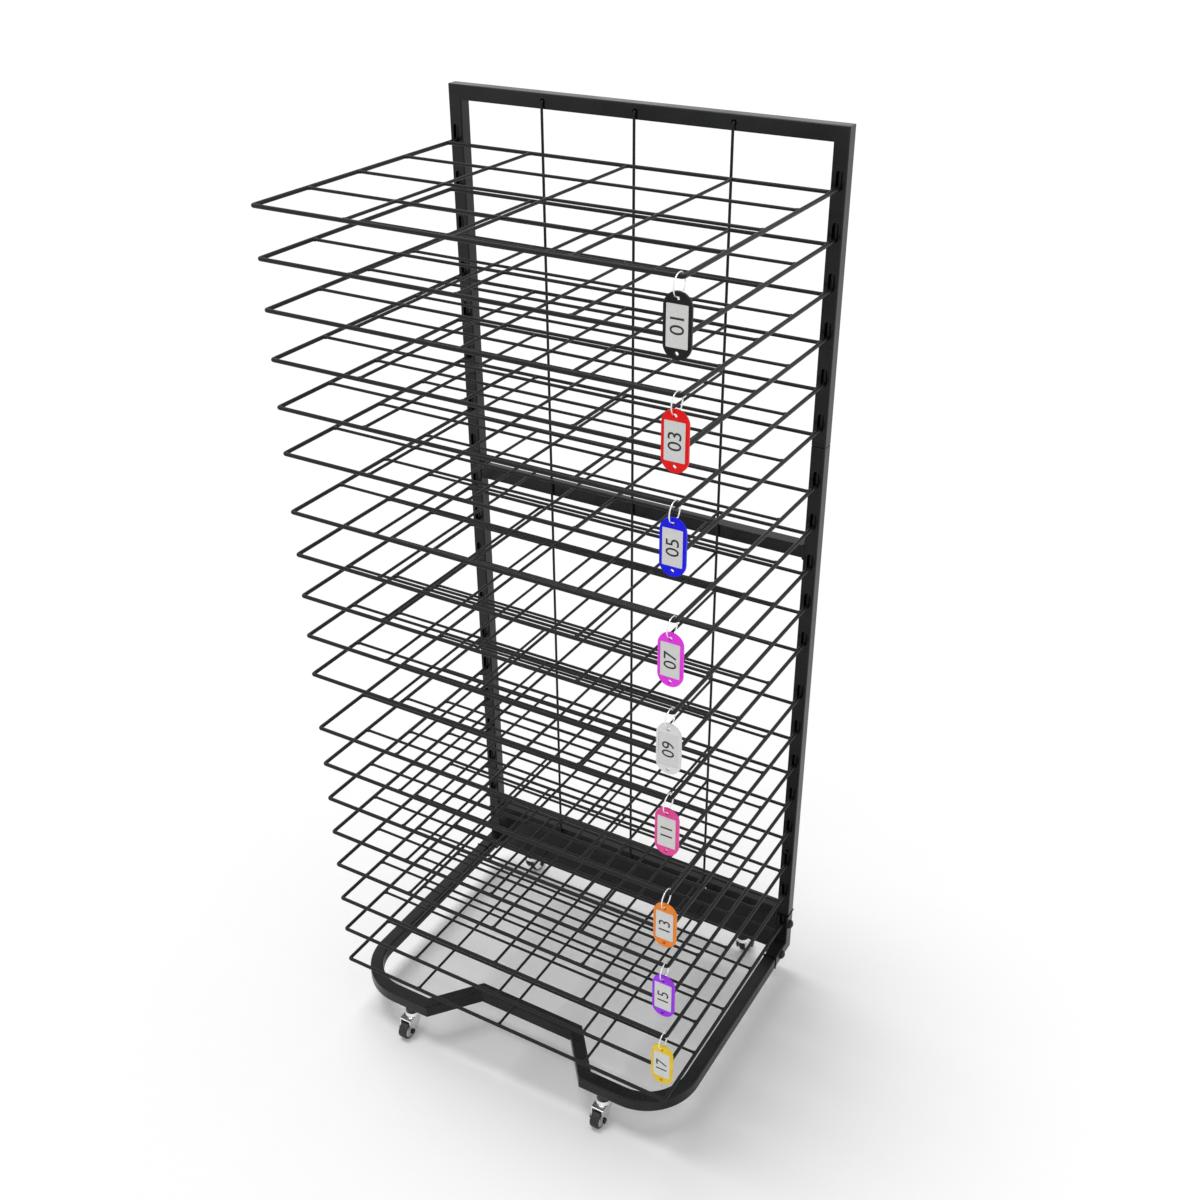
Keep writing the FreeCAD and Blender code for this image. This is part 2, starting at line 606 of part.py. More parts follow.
def caster_fork(place, trail):
    """Pressed fork: flat crown under the race and two wide ears down to the axle."""
    half = FORK_WIDTH / 2
    under = FORK_TOP - FORK_PLATE
    front = place.y + trail * FORK_FRONT
    crown = block((place.x - half, place.x + half), (place.y - trail * FORK_REAR, front),
                  (under, FORK_TOP))
    tail = cylinder(half, place + UP * under, place + UP * FORK_TOP)
    ears = [ear_outline(place, side, trail).extrude(Vector(-side * FORK_PLATE, 0, 0))
            for side in (-1, 1)]
    body = fuse([crown, tail] + ears)
    lip = [edge for edge in body.Edges
           if edge.BoundBox.YLength < RUNNING_FIT and edge.BoundBox.ZLength < RUNNING_FIT
           and abs(edge.CenterOfMass.y - front) < RUNNING_FIT
           and abs(edge.CenterOfMass.z - FORK_TOP) < RUNNING_FIT]
    body = body.makeFillet(FORK_EDGE, lip)
    axle = place + Vector(0, trail * FORK_TRAIL, AXLE_Z)
    hole = cylinder(STEM_DIAMETER / 2 + RUNNING_FIT, place, place + UP * BASE_Z)
    pin_hole = cylinder(AXLE_DIAMETER / 2 + RUNNING_FIT, axle - Vector(FORK_WIDTH, 0, 0),
                        axle + Vector(FORK_WIDTH, 0, 0))
    return body.cut([hole, pin_hole])


def ear_outline(place, side, trail):
    """Side view of a fork ear: wide at the crown, cut away behind, round at the axle."""
    def at(ahead, height):
        return Vector(place.x + side * FORK_WIDTH / 2, place.y + trail * ahead, height)
    rear_top = at(-FORK_REAR, FORK_TOP)
    waist = at(*FORK_WAIST)
    heel = at(*FORK_HEEL)
    toe = at(FORK_TRAIL, AXLE_Z - FORK_FOOT)
    turn = at(FORK_TRAIL + FORK_FOOT * math.sqrt(0.5), AXLE_Z - FORK_FOOT * math.sqrt(0.5))
    nose = at(FORK_TRAIL + FORK_FOOT, AXLE_Z)
    brow = at(FORK_FRONT, FORK_TOP - FORK_PLATE)
    front_top = at(FORK_FRONT, FORK_TOP)
    return Part.Face(Part.Wire([
        Part.makeLine(rear_top, waist), Part.makeLine(waist, heel), Part.makeLine(heel, toe),
        Part.Arc(toe, turn, nose).toShape(),
        Part.makeLine(nose, brow), Part.makeLine(brow, front_top),
        Part.makeLine(front_top, rear_top)]))


def caster_wheel(place, trail):
    """Wheel with rounded tread and dished sides."""
    centre = place + Vector(0, trail * FORK_TRAIL, AXLE_Z)
    radius = WHEEL_DIAMETER / 2
    half = WHEEL_WIDTH / 2
    tread = cylinder(radius, centre - Vector(half, 0, 0), centre + Vector(half, 0, 0))
    rims = [edge for edge in tread.Edges if len(edge.Vertexes) == 1]
    tread = tread.makeFillet(TREAD_ROUND, rims)
    cutters = [cylinder(AXLE_DIAMETER / 2 + RUNNING_FIT, centre - Vector(radius, 0, 0),
                        centre + Vector(radius, 0, 0))]
    for side in (-1, 1):
        dish = cylinder(WHEEL_HUB_DIAMETER / 2, centre + Vector(side * (half - WHEEL_DISH), 0, 0),
                        centre + Vector(side * radius, 0, 0))
        boss = cylinder(WHEEL_BOSS_DIAMETER / 2, centre, centre + Vector(side * radius, 0, 0))
        cutters.append(dish.cut(boss))
    return tread.cut(cutters)


def caster_axle(place, trail):
    """Headed axle through the fork and wheel."""
    centre = place + Vector(0, trail * FORK_TRAIL, AXLE_Z)
    half = FORK_WIDTH / 2
    head = (AXLE_LENGTH - FORK_WIDTH) / 2
    pin = cylinder(AXLE_DIAMETER / 2, centre - Vector(half, 0, 0), centre + Vector(half, 0, 0))
    heads = []
    for side in (-1, 1):
        start = centre + Vector(side * half, 0, 0)
        heads.append(cylinder(AXLE_HEAD_DIAMETER / 2, start, start + Vector(side * head, 0, 0)))
    return fuse([pin] + heads)


# ---------------------------------------------------------------- parts
def all_parts():
    """Every node of the rack, by name."""
    parts = {
        "upper_frame": upper_frame(),
        "lower_frame": lower_frame(),
        "rear_foot_bar": rear_foot_bar(),
        "base_frame": base_frame(),
        "frame_bolts": frame_bolts(),
        "frame_nuts": frame_nuts(),
        "caster_sockets": caster_sockets(),
        "caster_stems": caster_stems(),
    }
    for name, x in zip(("left", "middle", "right"), BACK_WIRE_XS):
        parts[f"back_wire_{name}"] = back_wire(x)
    for number, height in enumerate(reversed(shelf_heights()), start=1):
        parts[f"shelf_{number:02d}"] = shelf(height)
        if number % 2 == 1 and number < sum(SHELF_GROUPS):
            parts[f"tag_{number:02d}"] = shelf_tag(height)
            parts[f"tag_ring_{number:02d}"] = tag_ring(height)
    for name, (place, trail) in caster_places().items():
        parts[f"caster_fork_{name}"] = caster_fork(place, trail)
        parts[f"caster_wheel_{name}"] = caster_wheel(place, trail)
        parts[f"caster_axle_{name}"] = caster_axle(place, trail)
    return parts


def main():
    """Write one STEP file per node."""
    os.makedirs("parts", exist_ok=True)
    for name, shape in all_parts().items():
        shape.exportStep(f"parts/{name}.step")


main()
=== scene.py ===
"""Looks of a mobile art drying rack, dressed round its packed construction.

Everything is in metres, in the construction's own frame: z = 0 on the floor, the uprights
stand at +Y, and the wire shelves reach out to -Y.
"""
import json
import logging
import math
from dataclasses import dataclass
from enum import Enum

import bmesh
import bpy
from mathutils import Matrix, Vector

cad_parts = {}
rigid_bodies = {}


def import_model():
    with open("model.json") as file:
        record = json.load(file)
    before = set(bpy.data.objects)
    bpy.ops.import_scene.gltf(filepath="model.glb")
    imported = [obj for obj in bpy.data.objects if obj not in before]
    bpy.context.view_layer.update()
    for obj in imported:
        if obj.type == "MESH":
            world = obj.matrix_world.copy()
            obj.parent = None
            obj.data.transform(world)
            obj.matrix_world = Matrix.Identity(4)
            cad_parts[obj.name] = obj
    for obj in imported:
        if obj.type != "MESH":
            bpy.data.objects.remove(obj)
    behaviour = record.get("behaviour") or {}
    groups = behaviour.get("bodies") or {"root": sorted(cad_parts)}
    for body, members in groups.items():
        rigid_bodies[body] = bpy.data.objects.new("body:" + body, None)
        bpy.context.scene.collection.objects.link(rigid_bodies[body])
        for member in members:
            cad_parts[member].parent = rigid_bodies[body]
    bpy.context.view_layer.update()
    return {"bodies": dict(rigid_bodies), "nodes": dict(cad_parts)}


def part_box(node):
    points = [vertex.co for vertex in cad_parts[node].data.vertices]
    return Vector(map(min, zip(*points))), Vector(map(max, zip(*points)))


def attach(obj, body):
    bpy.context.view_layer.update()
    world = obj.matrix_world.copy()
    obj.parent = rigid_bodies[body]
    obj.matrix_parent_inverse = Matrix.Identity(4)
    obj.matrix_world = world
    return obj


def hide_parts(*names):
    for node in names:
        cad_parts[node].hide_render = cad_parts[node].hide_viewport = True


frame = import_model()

LOG = logging.getLogger("drying_rack")
MM = 0.001

# Most of a noise texture's values lie in this span.
NOISE_SPAN = {"From Min": 0.3, "From Max": 0.7}
# Edges flatter than this many degrees are shaded smooth on moulded, lumpy and turned pieces.
MOULDED_EDGE, LUMPY_EDGE, TURNED_EDGE = 35.0, 60.0, 30.0
# Facets round and over a lump of weld: few, because lumps are repeated hundreds of times.
LUMP_FACETS = (8, 5)
# Height of the font's figures as a share of its size.
FIGURE_SHARE = 0.7
# A direction lies along an axis if its cosine to it is above this.
ALONG = 0.9
# A tag hangs on every second shelf.
TAG_STEP = 2
WHITE = (1.0, 1.0, 1.0, 1.0)

Box = tuple[Vector, Vector]
Material = bpy.types.Material
Node = bpy.types.Node
Socket = bpy.types.NodeSocket
Tree = bpy.types.NodeTree


# ------------------------------------------------------------------ colours and nodes
def linear(code: str) -> tuple[float, float, float, float]:
    """Turns an sRGB hex colour to linear RGBA, by the standard's own curve.

    Args:
        code: six hex digits after a hash.

    Returns:
        Linear red, green and blue, and an alpha of one.
    """
    channels = [int(code[place:place + 2], 16) / 255 for place in (1, 3, 5)]
    red, green, blue = (
        c / 12.92 if c <= 0.04045 else ((c + 0.055) / 1.055) ** 2.4 for c in channels
    )
    return (red, green, blue, 1.0)


def join(tree: Tree, node: Node, links: dict[str | int, Socket]) -> None:
    """Links outputs of other nodes to a node's inputs.

    Args:
        tree: the node tree of them all.
        node: the node that takes the links.
        links: output sockets, by input socket.
    """
    for name, output in links.items():
        tree.links.new(output, node.inputs[name])


def add_node(
    tree: Tree,
    kind: str,
    settings: dict[str | int, object] | None = None,
    links: dict[str | int, Socket] | None = None,
) -> Node:
    """Adds a shader node with its settings and links.

    Args:
        tree: the node tree to add to.
        kind: the node's type, such as ShaderNodeBump.
        settings: values by property name or input socket.
        links: output sockets of other nodes, by input socket.

    Returns:
        The new node.
    """
    node = tree.nodes.new(kind)
    for name, value in (settings or {}).items():
        if isinstance(name, str) and hasattr(node, name):
            setattr(node, name, value)
        else:
            node.inputs[name].default_value = value
    join(tree, node, links or {})
    return node


def grain(size_mm: float) -> float:
    """Noise scale, on coordinates in metres, whose features are of this size."""
    return 1 / (size_mm * MM)


def two_tone(node: Node, places: tuple[float, float], codes: tuple[str, str]) -> None:
    """Sets a colour ramp's two stops.

    Args:
        node: a ShaderNodeValToRGB.
        places: where the stops are, from 0 to 1.
        codes: their sRGB hex colours.
    """
    for element, place, code in zip(node.color_ramp.elements, places, codes):
        element.position = place
        element.color = linear(code)


@dataclass(frozen=True)
class Finish:
    """A surface finish: builds one procedural material.

    Attributes:
        name: the material's name.
    """

    name: str

    def build(self) -> Material:
        """Makes the material and hands its tree to the finish's own shading.

        Returns:
            The new material.
        """
        material = bpy.data.materials.new(self.name)
        material.use_nodes = True
        tree = material.node_tree
        where = add_node(tree, "ShaderNodeTexCoord").outputs["Object"]
        self.shade(tree, tree.nodes["Principled BSDF"], where)
        return material

    def shade(self, tree: Tree, shader: Node, where: Socket) -> None:
        """Sets the shader's sockets and patterns; each finish has its own.

        Args:
            tree: the material's node tree.
            shader: its Principled BSDF.
            where: object coordinates, in metres.
        """
        raise NotImplementedError


@dataclass(frozen=True)
class PowderCoat(Finish):
    """Polyester powder coat on steel, sprayed and baked: satin black with a faint orange peel.

    Attributes:
        low: darker colour of the faint blotches.
        high: lighter colour of the faint blotches.
        roughness: satin level, at the middle of its variation.
        gloss_swing: how far the roughness varies each way.
        sheen_level: specular level of the coat; the usual 0.5 is for a clear gloss.
        blotch_mm: size of the blotches.
        peel_mm: size of the orange peel.
        depth_mm: height of the orange peel.
        tone_span: places of the two colours in the noise's range.
    """

    low: str = "#141516"
    high: str = "#1e1f21"
    roughness: float = 0.28
    gloss_swing: float = 0.05
    sheen_level: float = 0.25
    blotch_mm: float = 45.0
    peel_mm: float = 1.6
    depth_mm: float = 0.02
    tone_span: tuple[float, float] = (0.35, 0.65)

    def shade(self, tree: Tree, shader: Node, where: Socket) -> None:
        """Orange peel in the bump, soft blotches in colour and gloss."""
        shader.inputs["Specular IOR Level"].default_value = self.sheen_level
        blotch = add_node(
            tree, "ShaderNodeTexNoise", {"Scale": grain(self.blotch_mm), "Detail": 3.0},
            {"Vector": where},
        )
        tone = add_node(tree, "ShaderNodeValToRGB", links={"Fac": blotch.outputs["Fac"]})
        two_tone(tone, self.tone_span, (self.low, self.high))
        gloss = add_node(
            tree, "ShaderNodeMapRange",
            {**NOISE_SPAN, "To Min": self.roughness - self.gloss_swing,
             "To Max": self.roughness + self.gloss_swing},
            {"Value": blotch.outputs["Fac"]},
        )
        peel = add_node(
            tree, "ShaderNodeTexNoise", {"Scale": grain(self.peel_mm), "Detail": 2.0},
            {"Vector": where},
        )
        bump = add_node(
            tree, "ShaderNodeBump", {"Strength": 0.5, "Distance": self.depth_mm * MM},
            {"Height": peel.outputs["Fac"]},
        )
        join(tree, shader, {
            "Base Color": tone.outputs["Color"], "Roughness": gloss.outputs["Result"],
            "Normal": bump.outputs["Normal"],
        })


@dataclass(frozen=True)
class MetalPlate(Finish):
    """Bright electroplate on steel: a pale mirror with fine rubbed lines.

    Attributes:
        low: colour of the duller cloud.
        high: colour of the bright plate.
        roughness: of the bright plate.
        dulling: added to the roughness where the plate is rubbed.
        cloud_mm: size of the clouds.
        rub_mm: spacing of the rubbed lines.
        rub_stretch: noise scale along Z for one across, so the lines stand upright.
        depth_mm: height of the rubbed lines.
        tone_span: places of the two colours in the noise's range.
    """

    low: str = "#dcdddd"
    high: str = "#fafafa"
    roughness: float = 0.22
    dulling: float = 0.14
    cloud_mm: float = 6.0
    rub_mm: float = 0.5
    rub_stretch: float = 0.12
    depth_mm: float = 0.01
    tone_span: tuple[float, float] = (0.3, 0.62)

    def shade(self, tree: Tree, shader: Node, where: Socket) -> None:
        """Clouded tone, with fine lines along Z in the gloss and bump."""
        shader.inputs["Metallic"].default_value = 1.0
        cloud = add_node(
            tree, "ShaderNodeTexNoise", {"Scale": grain(self.cloud_mm), "Detail": 3.0},
            {"Vector": where},
        )
        tone = add_node(tree, "ShaderNodeValToRGB", links={"Fac": cloud.outputs["Fac"]})
        two_tone(tone, self.tone_span, (self.low, self.high))
        stretch = add_node(
            tree, "ShaderNodeMapping", {"Scale": (1.0, 1.0, self.rub_stretch)}, {"Vector": where}
        )
        rub = add_node(
            tree, "ShaderNodeTexNoise", {"Scale": grain(self.rub_mm), "Detail": 2.0},
            {"Vector": stretch.outputs["Vector"]},
        )
        gloss = add_node(
            tree, "ShaderNodeMapRange",
            {**NOISE_SPAN, "To Min": self.roughness, "To Max": self.roughness + self.dulling},
            {"Value": rub.outputs["Fac"]},
        )
        bump = add_node(
            tree, "ShaderNodeBump", {"Strength": 0.25, "Distance": self.depth_mm * MM},
            {"Height": rub.outputs["Fac"]},
        )
        join(tree, shader, {
            "Base Color": tone.outputs["Color"], "Roughness": gloss.outputs["Result"],
            "Normal": bump.outputs["Normal"],
        })


@dataclass(frozen=True)
class Moulded(Finish):
    """Injection-moulded or cast polymer: an even colour with a fine mould grain.

    Attributes:
        low: darker colour of the faint mottling.
        high: lighter colour of the faint mottling.
        roughness: of the surface, at the middle of its variation.
        gloss_swing: how far the roughness varies each way.
        sheen_level: specular level; the usual 0.5 is for a clear gloss.
        mottle_mm: size of the mottling.
        grain_mm: size of the mould grain.
        depth_mm: height of the mould grain.
        tone_span: places of the two colours in the noise's range.
    """

    low: str
    high: str
    roughness: float
    gloss_swing: float = 0.04
    sheen_level: float = 0.4
    mottle_mm: float = 9.0
    grain_mm: float = 0.5
    depth_mm: float = 0.01
    tone_span: tuple[float, float] = (0.35, 0.65)

    def shade(self, tree: Tree, shader: Node, where: Socket) -> None:
        """Mottled colour, mould grain and sheen."""
        shader.inputs["Specular IOR Level"].default_value = self.sheen_level
        mottle = add_node(
            tree, "ShaderNodeTexNoise", {"Scale": grain(self.mottle_mm), "Detail": 3.0},
            {"Vector": where},
        )
        tone = add_node(tree, "ShaderNodeValToRGB", links={"Fac": mottle.outputs["Fac"]})
        two_tone(tone, self.tone_span, (self.low, self.high))
        fine = add_node(
            tree, "ShaderNodeTexNoise", {"Scale": grain(self.grain_mm), "Detail": 2.0},
            {"Vector": where},
        )
        gloss = add_node(
            tree, "ShaderNodeMapRange",
            {**NOISE_SPAN, "To Min": self.roughness - self.gloss_swing,
             "To Max": self.roughness + self.gloss_swing},
            {"Value": fine.outputs["Fac"]},
        )
        bump = add_node(
            tree, "ShaderNodeBump", {"Strength": 0.4, "Distance": self.depth_mm * MM},
            {"Height": fine.outputs["Fac"]},
        )
        join(tree, shader, {
            "Base Color": tone.outputs["Color"], "Roughness": gloss.outputs["Result"],
            "Normal": bump.outputs["Normal"],
        })


@dataclass(frozen=True)
class BlackOxide(Finish):
    """Black oxide on steel, oiled: a dark metal, duller where it is scuffed.

    Attributes:
        low: colour of the oxide.
        high: colour where the oxide is rubbed thin.
        roughness: of the oiled surface.
        dulling: added to the roughness where it is scuffed.
        metallic: less than a bare metal's, because the oxide film covers it.
        scuff_mm: size of the scuffs.
        tone_span: places of the two colours in the noise's range.
    """

    low: str = "#1b1c1d"
    high: str = "#37383a"
    roughness: float = 0.2
    dulling: float = 0.12
    metallic: float = 0.6
    scuff_mm: float = 1.5
    tone_span: tuple[float, float] = (0.45, 0.7)

    def shade(self, tree: Tree, shader: Node, where: Socket) -> None:
        """Scuffs lighten the oxide and roughen it."""
        shader.inputs["Metallic"].default_value = self.metallic
        scuff = add_node(
            tree, "ShaderNodeTexNoise", {"Scale": grain(self.scuff_mm), "Detail": 4.0},
            {"Vector": where},
        )
        tone = add_node(tree, "ShaderNodeValToRGB", links={"Fac": scuff.outputs["Fac"]})
        two_tone(tone, self.tone_span, (self.low, self.high))
        gloss = add_node(
            tree, "ShaderNodeMapRange",
            {**NOISE_SPAN, "To Min": self.roughness, "To Max": self.roughness + self.dulling},
            {"Value": scuff.outputs["Fac"]},
        )
        join(tree, shader, {
            "Base Color": tone.outputs["Color"], "Roughness": gloss.outputs["Result"],
        })


@dataclass(frozen=True)
class CardStock(Finish):
    """Uncoated card: matt, slightly grey, with short fibres that show as faint flecks.

    Attributes:
        low: colour of the flecks.
        high: colour of the card.
        roughness: of the card.
        fibre_mm: width of the fibres.
        fibre_stretch: noise scale along Z for one across, so the fibres lie upright.
        depth_mm: height of the fibres.
        tone_span: places of the two colours in the noise's range.
    """

    low: str = "#dcdcdb"
    high: str = "#e6e6e5"
    roughness: float = 0.8
    fibre_mm: float = 0.8
    fibre_stretch: float = 0.4
    depth_mm: float = 0.02
    tone_span: tuple[float, float] = (0.3, 0.6)

    def shade(self, tree: Tree, shader: Node, where: Socket) -> None:
        """Fibres in the tone and in a slight bump."""
        shader.inputs["Roughness"].default_value = self.roughness
        stretch = add_node(
            tree, "ShaderNodeMapping", {"Scale": (1.0, 1.0, self.fibre_stretch)}, {"Vector": where}
        )
        fibre = add_node(
            tree, "ShaderNodeTexNoise", {"Scale": grain(self.fibre_mm), "Detail": 4.0},
            {"Vector": stretch.outputs["Vector"]},
        )
        tone = add_node(tree, "ShaderNodeValToRGB", links={"Fac": fibre.outputs["Fac"]})
        two_tone(tone, self.tone_span, (self.low, self.high))
        bump = add_node(
            tree, "ShaderNodeBump", {"Strength": 0.3, "Distance": self.depth_mm * MM},
            {"Height": fibre.outputs["Fac"]},
        )
        join(tree, shader, {
            "Base Color": tone.outputs["Color"], "Normal": bump.outputs["Normal"],
        })


# ------------------------------------------------------------------ mesh helpers
def finished(
    name: str,
    shape: bmesh.types.BMesh,
    material: Material,
    body: str,
    smooth_below: float = MOULDED_EDGE,
) -> bpy.types.Object:
    """Makes an object of a bmesh, at the origin, riding on a body.

    Args:
        name: the piece's name.
        shape: its mesh, in the frame's metres; freed here.
        material: its finish.
        body: the body that it rides on.
        smooth_below: edges flatter than this many degrees are shaded smooth.

    Returns:
        The new object.
    """
    bmesh.ops.recalc_face_normals(shape, faces=shape.faces)
    for face in shape.faces:
        face.smooth = True
    mesh = bpy.data.meshes.new(name)
    shape.to_mesh(mesh)
    shape.free()
    mesh.set_sharp_from_angle(angle=math.radians(smooth_below))
    mesh.materials.append(material)
    piece = bpy.data.objects.new(name, mesh)
    bpy.context.scene.collection.objects.link(piece)
    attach(piece, body)
    LOG.info("%s rides on %s: %d faces", name, body, len(mesh.polygons))
    return piece


def coat_node(node: str, material: Material) -> None:
    """Gives a construction node its finish.

    Args:
        node: the node's name.
        material: the finish.
    """
    owner = frame["nodes"][node]
    if not owner.material_slots:
        owner.data.materials.append(material)
    for place in owner.material_slots:
        place.material = material


def middle_of(box: Box) -> Vector:
    """Centre of a box."""
    return (box[0] + box[1]) / 2


def nugget(shape: bmesh.types.BMesh, centre: Vector, radii: Vector) -> None:
    """Adds a small rounded lump of weld metal.

    Args:
        shape: the mesh to add to.
        centre: its centre.
        radii: half its size along X, Y and Z.
    """
    place = Matrix.Translation(centre) @ Matrix.Diagonal((*radii, 1.0))
    around, over = LUMP_FACETS
    bmesh.ops.create_uvsphere(shape, u_segments=around, v_segments=over, radius=1.0, matrix=place)


def block(shape: bmesh.types.BMesh, centre: Vector, size: Vector) -> list[bmesh.types.BMVert]:
    """Adds a square-edged block.

    Args:
        shape: the mesh to add to.
        centre: its centre.
        size: its width along X, Y and Z.

    Returns:
        Its corners.
    """
    place = Matrix.Translation(centre) @ Matrix.Diagonal((*size, 1.0))
    return bmesh.ops.create_cube(shape, size=1.0, matrix=place)["verts"]


def lathe(profile: list[tuple[float, float]], centre: Vector, steps: int) -> bmesh.types.BMesh:
    """Spins an outline about an axis along X.

    Args:
        profile: closed outline as (x, radius) pairs in metres, about the centre.
        centre: a point on the axis.
        steps: facets round the axis.

    Returns:
        The turned ring, closed all round.
    """
    shape = bmesh.new()
    corners = [shape.verts.new(centre + Vector((x, 0.0, radius))) for x, radius in profile]
    edges = [shape.edges.new(pair) for pair in zip(corners, corners[1:] + corners[:1])]
    bmesh.ops.spin(
        shape, geom=corners + edges, cent=centre, axis=(1.0, 0.0, 0.0), dvec=(0.0, 0.0, 0.0),
        angle=math.tau, steps=steps, use_merge=True, use_duplicate=False,
    )
    return shape


def slab(centre: Vector, size: Vector, radius: float, segments: int = 4) -> bmesh.types.BMesh:
    """Flat plate across Y whose four corners are rounded.

    Args:
        centre: its centre.
        size: width, thickness and height.
        radius: of the four corners.
        segments: facets round each corner.

    Returns:
        The plate.
    """
    shape = bmesh.new()
    block(shape, centre, size)
    through = [
        edge for edge in shape.edges
        if abs((edge.verts[0].co - edge.verts[1].co).normalized().y) > ALONG
    ]
    bmesh.ops.bevel(
        shape, geom=through, offset=radius, offset_type="OFFSET", affect="EDGES",
        segments=segments, profile=0.5, material=-1,
    )
    return shape


# ------------------------------------------------------------------ sub-assemblies
@dataclass
class TubeFrame:
    """Welded square-tube uprights, rails and base, with their screws, nuts and back wires.

    Attributes:
        coat: powder coat of the tubes.
        wire_coat: powder coat of the back wires.
        screw: finish of the screws and nuts.
        lip: finish of the lips at the elbows' ends; its matt near black is painted shadow of the
            seam gaps.
        bead: half width of a weld bead.
        bead_pitch: distance between a bead's ripples.
        stitch: length of each short weld along the panel's ends.
        tube: outside width of the square tube.
        crossbar_underside: height of the crossbar's lower face.
        panel_height: of the folded panel between the elbows.
        base_underside: height of the base's lower face.
        elbow_rise: base underside to the top of an elbow.
        elbow_reach: rear face to the front end of an elbow.
        rim_length: of the thin lip round each elbow's ends, along the tube.
        rim_proud: height of that lip above the tube's faces.
        rim_sunk: depth of that lip below the tube's faces.
    """

    coat: Material
    wire_coat: Material
    screw: Material
    lip: Material
    bead: float = 1.5 * MM
    bead_pitch: float = 1.3 * MM
    stitch: float = 12 * MM
    tube: float = 16 * MM
    crossbar_underside: float = 618.5 * MM
    panel_height: float = 70 * MM
    base_underside: float = 41 * MM
    elbow_rise: float = 61.3 * MM
    elbow_reach: float = 48.5 * MM
    rim_length: float = 1.2 * MM
    rim_proud: float = 0.7 * MM
    rim_sunk: float = 0.7 * MM

    def build(self) -> None:
        """Dresses the frame's nodes and adds its welds and lips."""
        for node in ("upper_frame", "lower_frame", "rear_foot_bar", "base_frame"):
            coat_node(node, self.coat)
        for side in ("left", "middle", "right"):
            coat_node(f"back_wire_{side}", self.wire_coat)
        for node in ("frame_bolts", "frame_nuts"):
            coat_node(node, self.screw)
        self.crossbar_welds()
        self.panel_welds()
        self.elbow_rims()

    def rim(self, shape: bmesh.types.BMesh, centre: Vector, along: Vector) -> None:
        """Adds a thin square lip round a tube.

        Args:
            shape: the mesh to add to.
            centre: a point on the tube's centre line.
            along: unit direction of the tube, along an axis.
        """
        outer = self.tube + 2 * self.rim_proud
        size = Vector([outer + (self.rim_length - outer) * abs(part) for part in along])
        corners = block(shape, centre, size)
        faces = {face for corner in corners for face in corner.link_faces}
        ends = [face for face in faces if abs(face.normal.dot(along)) > ALONG]
        width = self.rim_proud + self.rim_sunk
        bmesh.ops.inset_individual(shape, faces=ends, thickness=width)
        mouth = list({edge for face in ends for edge in face.edges})
        bmesh.ops.delete(shape, geom=ends, context="FACES_ONLY")
        bmesh.ops.bridge_loops(shape, edges=mouth)

    def elbow_rims(self) -> None:
        """Lips where the uprights and the base's sides run into the elbows, coloured as painted
        seam shadow.
        """
        shape = bmesh.new()
        low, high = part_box("rear_foot_bar")
        half = self.tube / 2
        for x in (low.x + half, high.x - half):
            top = Vector((x, high.y - half, self.base_underside + self.elbow_rise))
            front = Vector((x, high.y - self.elbow_reach, self.base_underside + half))
            self.rim(shape, top, Vector((0.0, 0.0, 1.0)))
            self.rim(shape, front, Vector((0.0, 1.0, 0.0)))
        finished("elbow_rims", shape, self.lip, "frame")

    def run(self, shape: bmesh.types.BMesh, start: Vector, end: Vector) -> None:
        """Lays a rippled bead along a straight joint.

        Args:
            shape: the mesh to add to.
            start: one end of the joint.
            end: its other end.
        """
        ripples = round((end - start).length / self.bead_pitch)
        for place in range(ripples + 1):
            nugget(shape, start.lerp(end, place / ripples), Vector((self.bead,) * 3))

    def crossbar_welds(self) -> None:
        """Beads round both ends of the crossbar."""
        shape = bmesh.new()
        low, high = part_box("lower_frame")
        bottom, top = self.crossbar_underside, self.crossbar_underside + self.tube
        for x in (low.x + self.tube, high.x - self.tube):
            corners = [
                Vector((x, low.y, bottom)), Vector((x, high.y, bottom)),
                Vector((x, high.y, top)), Vector((x, low.y, top)),
            ]
            for start, end in zip(corners, corners[1:] + corners[:1]):
                self.run(shape, start, end)
        finished("crossbar_welds", shape, self.coat, "frame", LUMPY_EDGE)

    def panel_welds(self) -> None:
        """Stitch welds that hold the folded panel to the elbows."""
        shape = bmesh.new()
        low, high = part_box("rear_foot_bar")
        face = high.y - self.tube
        first, last = low.z + self.stitch, low.z + self.panel_height - self.stitch
        half = Vector((0.0, 0.0, self.stitch / 2))
        for x in (low.x + self.tube, high.x - self.tube):
            for z in (first, (first + last) / 2, last):
                at = Vector((x, face, z))
                self.run(shape, at - half, at + half)
        finished("panel_welds", shape, self.coat, "frame", LUMPY_EDGE)


